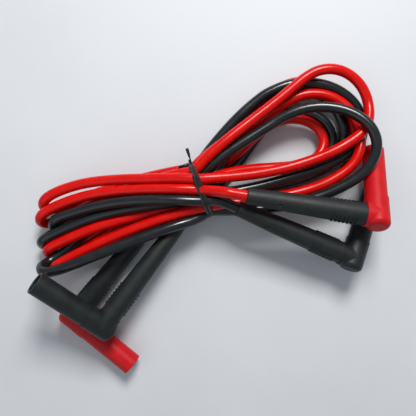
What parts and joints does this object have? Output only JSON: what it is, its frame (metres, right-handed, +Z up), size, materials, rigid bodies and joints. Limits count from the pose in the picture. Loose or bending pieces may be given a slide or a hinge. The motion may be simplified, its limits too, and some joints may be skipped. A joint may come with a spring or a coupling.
{
  "type": "multimeter test leads",
  "caption": "Red and black silicone test leads with right-angle shrouded 4 mm plugs on every end, tied up in one hank.",
  "frame": {"origin": "on the plane that the hank lies on, under the middle of the box round the four plugs and the tie", "axes": "+Z up; +X along the hank, from its narrow lobe to its wide ring; +Y towards the ring's outer edge"},
  "size_m": [0.1702, 0.1504, 0.0361],
  "materials": {
    "red_plug": "satin moulded plastic",
    "black_plug": "satin moulded plastic",
    "boot_rubber": "matt soft PVC",
    "red_cable": "glossy silicone",
    "black_cable": "semi-gloss silicone",
    "nickel_plate": "bright nickel plate on brass",
    "spring_bronze": "plated beryllium copper spring",
    "core_moulding": "natural nylon",
    "barrel_brass": "turned brass",
    "copper_strand": "fine stranded bare copper",
    "tie_plastic": "glossy PVC ribbon",
    "tie_steel": "drawn steel wire"
  },
  "bodies": {
    "leads": {"red_right_shroud": "red_plug", "red_right_elbow": "red_plug", "red_right_boot": "boot_rubber", "red_right_pin": "nickel_plate", "red_right_core": "core_moulding", "red_right_crimp_barrel": "barrel_brass", "red_right_conductor": "copper_strand", "red_right_jacket": "red_cable", "black_right_shroud": "black_plug", "black_right_elbow": "black_plug", "black_right_boot": "boot_rubber", "black_right_pin": "nickel_plate", "black_right_core": "core_moulding", "black_right_crimp_barrel": "barrel_brass", "black_right_conductor": "copper_strand", "black_right_jacket": "black_cable", "black_left_shroud": "black_plug", "black_left_elbow": "black_plug", "black_left_boot": "boot_rubber", "black_left_pin": "nickel_plate", "black_left_core": "core_moulding", "black_left_crimp_barrel": "barrel_brass", "black_left_conductor": "copper_strand", "black_left_jacket": "black_cable", "red_left_shroud": "red_plug", "red_left_elbow": "red_plug", "red_left_boot": "boot_rubber", "red_left_pin": "nickel_plate", "red_left_core": "core_moulding", "red_left_crimp_barrel": "barrel_brass", "red_left_conductor": "copper_strand", "red_left_jacket": "red_cable", "tie_ribbon": "tie_plastic", "tie_wire": "tie_steel", "red_tail": "red_cable", "black_tail": "black_cable", "hank": "red_cable"},
    "red_right_cage": {"red_right_spring_cage": "spring_bronze"},
    "black_right_cage": {"black_right_spring_cage": "spring_bronze"},
    "black_left_cage": {"black_left_spring_cage": "spring_bronze"},
    "red_left_cage": {"red_left_spring_cage": "spring_bronze"}
  },
  "joints": [
    {"name": "red_right_cage_spin", "type": "hinge", "parent": "leads", "child": "red_right_cage", "pos_m": [0.07544, 0.04185, 0.01246], "axis": [0.1097, 0.8581, -0.5017], "continuous": true},
    {"name": "black_right_cage_spin", "type": "hinge", "parent": "leads", "child": "black_right_cage", "pos_m": [0.07343, 0.02321, 0.00804], "axis": [0.3592, 0.9062, -0.2231], "continuous": true},
    {"name": "black_left_cage_spin", "type": "hinge", "parent": "leads", "child": "black_left_cage", "pos_m": [-0.06999, -0.01538, 0.02677], "axis": [-0.7249, 0.5941, 0.3488], "continuous": true},
    {"name": "red_left_cage_spin", "type": "hinge", "parent": "leads", "child": "red_left_cage", "pos_m": [-0.05052, -0.04344, 0.0056], "axis": [0.774, -0.6332, 0], "continuous": true}
  ]
}
